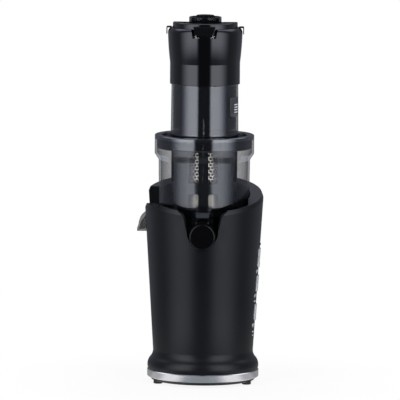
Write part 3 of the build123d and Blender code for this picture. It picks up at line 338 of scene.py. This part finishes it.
def meshPiece(name, points, faces, material, body, smooth=True):
    mesh = bpy.data.meshes.new(name)
    mesh.from_pydata(points, [], faces)
    mesh.update()
    work = bmesh.new()
    work.from_mesh(mesh)
    bmesh.ops.remove_doubles(work, verts=work.verts, dist=0.005 * mm)
    bmesh.ops.recalc_face_normals(work, faces=work.faces)
    for face in work.faces:
        face.smooth = smooth
    work.to_mesh(mesh)
    work.free()
    mesh.materials.append(material)
    piece = bpy.data.objects.new(name, mesh)
    bpy.context.scene.collection.objects.link(piece)
    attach(piece, body)
    return piece


def roundPoint(radius, azimuth, z):
    return Vector((radius * math.cos(azimuth), radius * math.sin(azimuth), z))


def patchGrid(radiusAt, azimuths, heights, thick):
    # closed curved patch that stands proud of a round wall by its thickness
    points = []
    for lift in (-0.1 * mm, thick):
        for z in heights:
            for azimuth in azimuths:
                points.append(roundPoint(radiusAt(z) + lift, azimuth, z))
    wide, high = len(azimuths), len(heights)
    half = wide * high
    faces = []
    for row in range(high - 1):
        for column in range(wide - 1):
            a = row * wide + column
            faces.append((a, a + 1, a + 1 + wide, a + wide))
            faces.append(tuple(half + k for k in (a + wide, a + 1 + wide, a + 1, a)))
    rim = [column for column in range(wide)]
    rim += [row * wide + wide - 1 for row in range(1, high)]
    rim += [(high - 1) * wide + column for column in range(wide - 2, -1, -1)]
    rim += [row * wide for row in range(high - 2, 0, -1)]
    for k, a in enumerate(rim):
        b = rim[(k + 1) % len(rim)]
        faces.append((a, b, half + b, half + a))
    return points, faces


def steps(first, last, count):
    return [first + (last - first) * k / (count - 1) for k in range(count)]


def lathe(name, profile, material, body, turns=96, centre=(0.0, 0.0)):
    # closed profile of (radius, z) points turned about Z
    points, faces = [], []
    size = len(profile)
    for turn in range(turns):
        azimuth = 2 * math.pi * turn / turns
        for radius, z in profile:
            point = roundPoint(radius, azimuth, z)
            points.append(point + Vector((centre[0], centre[1], 0.0)))
    for turn in range(turns):
        following = (turn + 1) % turns
        here, there = turn * size, following * size
        for k in range(size):
            nextK = (k + 1) % size
            faces.append((here + k, there + k, there + nextK, here + nextK))
    return meshPiece(name, points, faces, material, body)


strainer = {
    "coarseRows": 10,
    "coarseColumns": 40,
    "coarseLow": 243.5 * mm,
    "coarseHigh": 281.5 * mm,
    "coarseHole": 1.0 * mm,
    "phase": 2.4,
    "fineRows": 9,
    "fineColumns": 104,
    "fineLow": 214.5 * mm,
    "fineHigh": 229.5 * mm,
    "fineHole": 0.42 * mm,
    "sheet": 0.5 * mm,
}


def makeStrainer():
    low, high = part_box("strainer_mesh")
    footRadius = high.x
    frameTop = high.z
    topRadius = footRadius - 2.5 * mm

    def radiusAt(z):
        return footRadius + (topRadius - footRadius) * (z - low.z) / (frameTop - low.z)

    points, faces = [], []

    def sheetPoint(azimuth, z):
        points.append(roundPoint(radiusAt(z), azimuth, z))
        return len(points) - 1

    def plainBand(bottom, top, columns):
        for column in range(2 * columns):
            left = math.pi * column / columns
            right = math.pi * (column + 1) / columns
            corners = ((left, bottom), (right, bottom), (right, top), (left, top))
            faces.append(tuple(sheetPoint(a, z) for a, z in corners))

    def holedBand(bottom, top, rows, columns, hole):
        wide = 2 * math.pi / columns
        tall = (top - bottom) / rows
        for row in range(rows):
            for column in range(columns):
                azimuth = math.radians(strainer["phase"]) + wide * (column + 0.5 * (row % 2))
                z = bottom + tall * (row + 0.5)
                radius = radiusAt(z)
                outer, inner = [], []
                for k in range(8):
                    across = (-1, 0, 1, 1, 1, 0, -1, -1)[k]
                    up = (-1, -1, -1, 0, 1, 1, 1, 0)[k]
                    outer.append(sheetPoint(azimuth + across * wide / 2, z + up * tall / 2))
                    turn = math.atan2(up, across)
                    aside = hole * math.cos(turn) / radius
                    inner.append(sheetPoint(azimuth + aside, z + hole * math.sin(turn)))
                for k in range(8):
                    n = (k + 1) % 8
                    faces.append((outer[k], outer[n], inner[n], inner[k]))

    coarse, fine = strainer["coarseColumns"], strainer["fineColumns"]
    plainBand(low.z, strainer["fineLow"], fine)
    holedBand(strainer["fineLow"], strainer["fineHigh"], strainer["fineRows"], fine, strainer["fineHole"])
    plainBand(strainer["fineHigh"], strainer["coarseLow"], fine)
    coarseLow, coarseHigh = strainer["coarseLow"], strainer["coarseHigh"]
    holedBand(coarseLow, coarseHigh, strainer["coarseRows"], coarse, strainer["coarseHole"])
    plainBand(strainer["coarseHigh"], frameTop, coarse)
    sheet = meshPiece("strainerSheet", points, faces, finishes["strainer_steel"], "drum")
    shell = sheet.modifiers.new("thickness", "SOLIDIFY")
    shell.thickness = strainer["sheet"]
    shell.offset = -1.0
    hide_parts("strainer_mesh")


makeStrainer()
print("strainer made")


# moulding line up the drum's front, with the radius and height of each break in the wall
seam = {
    "azimuth": -90.0,
    "halfWidth": 0.3 * mm,
    "proud": 0.1 * mm,
    "low": 243.0 * mm,
    "topGap": 0.6 * mm,
    "wall": (54.2 * mm, 213.0 * mm),
    "shoulder": (54.8 * mm, 268.5 * mm),
    "flange": (59.6 * mm, 276.0 * mm),
}


def makeSeam():
    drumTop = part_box("drum_bowl")[1].z
    wallRadius, wallZ = seam["wall"]
    shoulderRadius, shoulderZ = seam["shoulder"]
    flangeRadius, flangeZ = seam["flange"]

    def radiusAt(z):
        if z < shoulderZ:
            return wallRadius + (shoulderRadius - wallRadius) * (z - wallZ) / (shoulderZ - wallZ)
        if z < flangeZ:
            return shoulderRadius + (flangeRadius - shoulderRadius) * (z - shoulderZ) / (flangeZ - shoulderZ)
        return flangeRadius

    heights = steps(seam["low"], shoulderZ, 6) + [flangeZ, drumTop - seam["topGap"]]
    centre = math.radians(seam["azimuth"])
    half = seam["halfWidth"] / wallRadius
    points, faces = patchGrid(radiusAt, steps(centre - half, centre + half, 3), heights, seam["proud"])
    meshPiece("drumSeam", points, faces, finishes["smoky_clear"], "drum")


makeSeam()

hingeTab = {
    "half": 7.7 * mm,
    "front": -71.2 * mm,
    "back": -57.8 * mm,
    "low": 205.8 * mm,
    "high": 211.2 * mm,
    "round": 0.8 * mm,
}


def makeHingeTab():
    # lighter grey block just inside the clear tab, above the recess that the cap's strap swings in; its
    # colour is painted light standing in for light that shows through the tab
    corner = hingeTab["round"]
    outline = []
    for x, z, first in (
        (hingeTab["half"], hingeTab["high"], 0),
        (-hingeTab["half"], hingeTab["high"], 90),
        (-hingeTab["half"], hingeTab["low"], 180),
        (hingeTab["half"], hingeTab["low"], 270),
    ):
        inX = x - math.copysign(corner, x)
        inZ = z - corner if first < 180 else z + corner
        for k in range(5):
            turn = math.radians(first + 90 * k / 4)
            outline.append((inX + corner * math.cos(turn), inZ + corner * math.sin(turn)))
    size = len(outline)
    points = [Vector((x, y, z)) for y in (hingeTab["front"], hingeTab["back"]) for x, z in outline]
    faces = [tuple(range(size)), tuple(range(2 * size - 1, size - 1, -1))]
    for k in range(size):
        n = (k + 1) % size
        faces.append((k, n, size + n, size + k))
    meshPiece("hingeTabPaintedGlow", points, faces, paintedTabGlow, "drum", smooth=False)


makeHingeTab()

tubePrint = {
    "radius": 40.3 * mm,
    "azimuth": -24.0,
    "halfAngle": 15.5,
    "low": 321.5 * mm,
    "high": 345.0 * mm,
    "proud": 0.08 * mm,
    "bars": 4,
    "barLow": 326.5 * mm,
    "barPitch": 3.0 * mm,
    "barHeight": 1.1 * mm,
}


def makeTubePrint():
    centre = math.radians(tubePrint["azimuth"])
    half = math.radians(tubePrint["halfAngle"])
    azimuths = steps(centre - half, centre + half, 17)
    heights = steps(tubePrint["low"], tubePrint["high"], 5)
    points, faces = patchGrid(lambda z: tubePrint["radius"], azimuths, heights, tubePrint["proud"])
    meshPiece("tubePlate", points, faces, printDark, "hopper")
    for bar in range(tubePrint["bars"]):
        bottom = tubePrint["barLow"] + bar * tubePrint["barPitch"]
        azimuths = steps(centre - half * 0.2, centre + half * 0.75, 11)
        heights = [bottom, bottom + tubePrint["barHeight"]]
        barRadius = tubePrint["radius"] + tubePrint["proud"]
        points, faces = patchGrid(lambda z: barRadius, azimuths, heights, tubePrint["proud"])
        meshPiece(f"tubeBar{bar + 1}", points, faces, printWhite, "hopper")


makeTubePrint()

panelWords = {
    "azimuth": -12.0,
    "words": (("ON", 135.5, 5.4), ("OFF", 105.5, 5.4), ("REV", 70.0, 6.4)),
    "bars": ((99.5, 6.0), (62.5, 7.0), (58.0, 5.0)),
    "barHeight": 1.1 * mm,
    "proud": 0.06 * mm,
    "extrude": 0.05 * mm,
}
coneBase, coneSlope = 57.7 * mm, 0.061


def casingRadius(height):
    return coneBase + coneSlope * height


def makeWords():
    for index, (word, z, size) in enumerate(panelWords["words"]):
        text = bpy.data.curves.new(f"word{index}", "FONT")
        text.body = word
        text.size = size * mm
        text.align_x = "CENTER"
        text.align_y = "CENTER"
        text.extrude = panelWords["extrude"]
        text.resolution_u = 3
        holder = bpy.data.objects.new(f"word{index}", text)
        bpy.context.scene.collection.objects.link(holder)
        bpy.context.view_layer.update()
        flat = bpy.data.meshes.new_from_object(holder)
        bpy.data.objects.remove(holder)
        azimuth = math.radians(panelWords["azimuth"])
        for vertex in flat.vertices:
            across, up, out = vertex.co
            height = z * mm + up
            radius = casingRadius(height) + panelWords["proud"] + out
            vertex.co = roundPoint(radius, azimuth + across / radius, height)
        flat.materials.append(printWhite)
        piece = bpy.data.objects.new(f"buttonWord{index + 1}", flat)
        bpy.context.scene.collection.objects.link(piece)
        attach(piece, "base")
    for index, (z, width) in enumerate(panelWords["bars"]):
        centre = math.radians(panelWords["azimuth"])
        half = width * mm / 2 / casingRadius(z * mm)
        rise = panelWords["barHeight"] / 2
        heights = [z * mm - rise, z * mm + rise]
        azimuths = steps(centre - half, centre + half, 7)
        points, faces = patchGrid(casingRadius, azimuths, heights, panelWords["proud"])
        meshPiece(f"buttonBar{index + 1}", points, faces, printWhite, "base")


makeWords()
print("prints made")


capRim = {
    "wall": 2.6 * mm,
    "round": 1.0 * mm,
    "foot": 0.4 * mm,
    "gap": 0.1 * mm,
    "knobRadius": 10.8 * mm,
    "knobHeight": 2.0 * mm,
}


def makePusherCap():
    low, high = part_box("small_pusher_cap")
    radius = high.x
    top = high.z - capRim["knobHeight"]  # the knob stands on this face
    inner = radius - capRim["wall"]
    edge = capRim["round"]
    foot = capRim["foot"]
    rim = [(inner, low.z), (radius - foot, low.z), (radius, low.z + foot), (radius, top - edge)]
    for k in range(1, 6):
        turn = math.pi / 2 * k / 5
        rim.append((radius - edge + edge * math.cos(turn), top - edge + edge * math.sin(turn)))
    rim.append((inner, top))
    shell = lathe("pusherCapRim", rim, finishes["rim_clear"], "inner_pusher")
    coreRadius = inner - capRim["gap"]
    knob = capRim["knobRadius"]
    core = [(0.0, low.z), (coreRadius, low.z), (coreRadius, top), (knob, top)]
    for k in range(0, 6):
        turn = math.pi / 2 * k / 5
        core.append((knob - edge + edge * math.cos(turn), high.z - edge + edge * math.sin(turn)))
    core.append((0.0, high.z))
    lathe("pusherCapCore", core, finishes["pusher_cap"], "inner_pusher")
    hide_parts("small_pusher_cap")


makePusherCap()
print("pusher cap made")


studio = {
    "turn": -1.0,
    "boxLevel": 2.75,
    "innerEdge": (17.0, 27.0),
    "outerEdge": (46.0, 88.0),
    "lowerEdge": (-18.0, -9.5),
    "upperEdge": (38.0, 68.0),
    "frontGlow": 0.055,
    "sideGlow": 0.26,
    "glowTint": rgb(0.93, 0.97, 1.12),
    "frontEdge": (14.0, 30.0),
    "rearGlow": 0.12,
    "rearEdge": (128.0, 142.0),
    "rearPatch": 0.1,
    "rearRise": (118.0, 142.0),
    "rearFall": (158.0, 176.0),
    "rearHighLevel": 1.2,
    "rearHigh": (28.0, 44.0),
    "rearLowLevel": 1.0,
    "rearLow": (-30.0, -12.0),
    "behind": (100.0, 118.0),
    "floorRadius": 0.34,
    "floorTurns": 64,
    "floorRings": 6,
    "floorShare": 0.9,
    "floorFade": (0.1, 0.3),
    # floor glow levels below are seen only in reflections: painted light of the lit floor, dim in front,
    # bright to the sides, dim behind
    "floorDark": 0.34,
    "floorBright": 0.98,
    "floorSide": 0.52,
    "floorRear": 0.35,
    "floorRise": (21.0, 46.0),
    "floorFall": (60.0, 78.0),
    "floorDrop": (92.0, 107.0),
}


def rayKind(graph):
    path = graph.make("ShaderNodeLightPath")
    return {
        "camera": Wire(graph, path.outputs["Is Camera Ray"]),
        "glossy": Wire(graph, path.outputs["Is Glossy Ray"]),
        "through": Wire(graph, path.outputs["Is Transmission Ray"]),
    }


def sideAngle(graph, x, y):  # degrees either side of the studio's middle, 0 towards the viewer
    turn = graph.node("ShaderNodeMath", {"operation": "ARCTAN2"}, {0: x, 1: y * -1.0})
    angle = turn * math.degrees(1.0) - studio["turn"]
    return graph.node("ShaderNodeMath", {"operation": "ABSOLUTE"}, {0: angle})


def makeWorld():
    world = bpy.data.worlds.new("studioWorld")
    graph = Graph(world)
    kind = rayKind(graph)
    direction = graph.node("ShaderNodeTexCoord", output="Generated")
    x, y, z = graph.parts(direction)
    side = sideAngle(graph, x, y)
    height = graph.node("ShaderNodeMath", {"operation": "ARCSINE"}, {0: z}) * math.degrees(1.0)
    across = graph.rise(side, studio["innerEdge"]) * graph.fall(side, studio["outerEdge"])
    upright = graph.rise(height, studio["lowerEdge"]) * graph.fall(height, studio["upperEdge"])
    frontStep = studio["sideGlow"] - studio["frontGlow"]
    rearStep = studio["rearGlow"] - studio["sideGlow"]
    glow = studio["frontGlow"] + graph.rise(side, studio["frontEdge"]) * frontStep
    glow = glow + graph.rise(side, studio["rearEdge"]) * rearStep
    rear = graph.rise(side, studio["rearRise"]) * graph.fall(side, studio["rearFall"]) * studio["rearPatch"]
    behind = graph.rise(side, studio["behind"])
    rear = rear + behind * graph.rise(height, studio["rearHigh"]) * studio["rearHighLevel"]
    rear = rear + behind * graph.fall(height, studio["rearLow"]) * studio["rearLowLevel"]
    studioLevel = across * upright * studio["boxLevel"] + glow + rear
    shown = kind["camera"].larger(kind["through"])
    level = shown + (1 - shown) * studioLevel
    tint = graph.blend((across * upright).larger(shown), studio["glowTint"], rgb(1, 1, 1))
    light = graph.node("ShaderNodeBackground", None, {"Color": tint, "Strength": level})
    graph.make("ShaderNodeOutputWorld", None, {"Surface": light})
    bpy.context.scene.world = world


def makeFloor():
    points = [Vector((0.0, 0.0, 0.0))]
    faces = []
    turns, rings = studio["floorTurns"], studio["floorRings"]
    for ring in range(1, rings + 1):
        for turn in range(turns):
            points.append(roundPoint(studio["floorRadius"] * ring / rings, 2 * math.pi * turn / turns, 0.0))
    for turn in range(turns):
        following = (turn + 1) % turns
        faces.append((0, 1 + turn, 1 + following))
        for ring in range(rings - 1):
            start = 1 + ring * turns
            faces.append((start + turn, start + turns + turn, start + turns + following, start + following))
    mesh = bpy.data.meshes.new("floor")
    mesh.from_pydata(points, [], faces)
    material, graph = newMaterial("paleFloor")
    kind = rayKind(graph)
    x, y, z = graph.parts(graph.place())
    side = sideAngle(graph, x, y)
    reach = (x * x + y * y) ** 0.5
    near = graph.rise(side, studio["floorRise"])
    far = graph.rise(side, studio["floorFall"])
    rear = graph.rise(side, studio["floorDrop"])
    shown = kind["camera"].larger(kind["through"])
    cloth = graph.noise(30.0, 3.0)
    sheet = graph.node("ShaderNodeBsdfPrincipled", None, {
        "Base Color": graph.blend(cloth, grey(0.88), grey(0.93)),
        "Roughness": 0.9,
        "Specular IOR Level": 0.0,
    })
    # painted reflection: for glossy rays the floor glows dim in front, bright to the sides and dim behind;
    # camera rays see plain white
    paintedFloorLight = graph.blend(near, grey(studio["floorDark"], 0.08), grey(studio["floorBright"]))
    paintedFloorLight = graph.blend(far, paintedFloorLight, grey(studio["floorSide"]))
    paintedFloorLight = graph.blend(rear, paintedFloorLight, grey(studio["floorRear"]))
    tint = graph.blend(shown, paintedFloorLight, rgb(1, 1, 1))
    glow = graph.node("ShaderNodeEmission", None, {"Color": tint, "Strength": 1.0})
    edge = studio["floorShare"] + graph.rise(reach, studio["floorFade"]) * (1 - studio["floorShare"])
    share = shown * edge + (1 - shown) * kind["glossy"]
    mixed = graph.node("ShaderNodeMixShader", None, {0: share, 1: sheet, 2: glow})
    graph.make("ShaderNodeOutputMaterial", None, {"Surface": mixed})
    mesh.materials.append(material)
    floor = bpy.data.objects.new("floor", mesh)
    bpy.context.scene.collection.objects.link(floor)


cameraPlace = {
    "aim": Vector((-4.85, 0.0, 219.2)) * mm,
    "azimuth": 1.5,
    "elevation": 6.5,
    "roll": 0.42,
    "distance": 7.0,
    "frameWidth": 0.48,
    "sensor": 36.0,
    "reach": 50.0,
}


def makeCamera():
    azimuth = math.radians(cameraPlace["azimuth"])
    elevation = math.radians(cameraPlace["elevation"])
    back = Vector((
        math.sin(azimuth) * math.cos(elevation),
        -math.cos(azimuth) * math.cos(elevation),
        math.sin(elevation),
    ))
    data = bpy.data.cameras.new("camera")
    data.sensor_width = cameraPlace["sensor"]
    data.lens = data.sensor_width * cameraPlace["distance"] / cameraPlace["frameWidth"]
    data.clip_end = cameraPlace["reach"]
    camera = bpy.data.objects.new("camera", data)
    bpy.context.scene.collection.objects.link(camera)
    camera.location = cameraPlace["aim"] + back * cameraPlace["distance"]
    camera.rotation_mode = "QUATERNION"
    roll = Quaternion((0.0, 0.0, 1.0), math.radians(cameraPlace["roll"]))
    camera.rotation_quaternion = (-back).to_track_quat("-Z", "Y") @ roll
    bpy.context.scene.camera = camera


makeWorld()
makeFloor()
makeCamera()
bpy.context.scene.view_settings.view_transform = "Standard"
print("stage made")
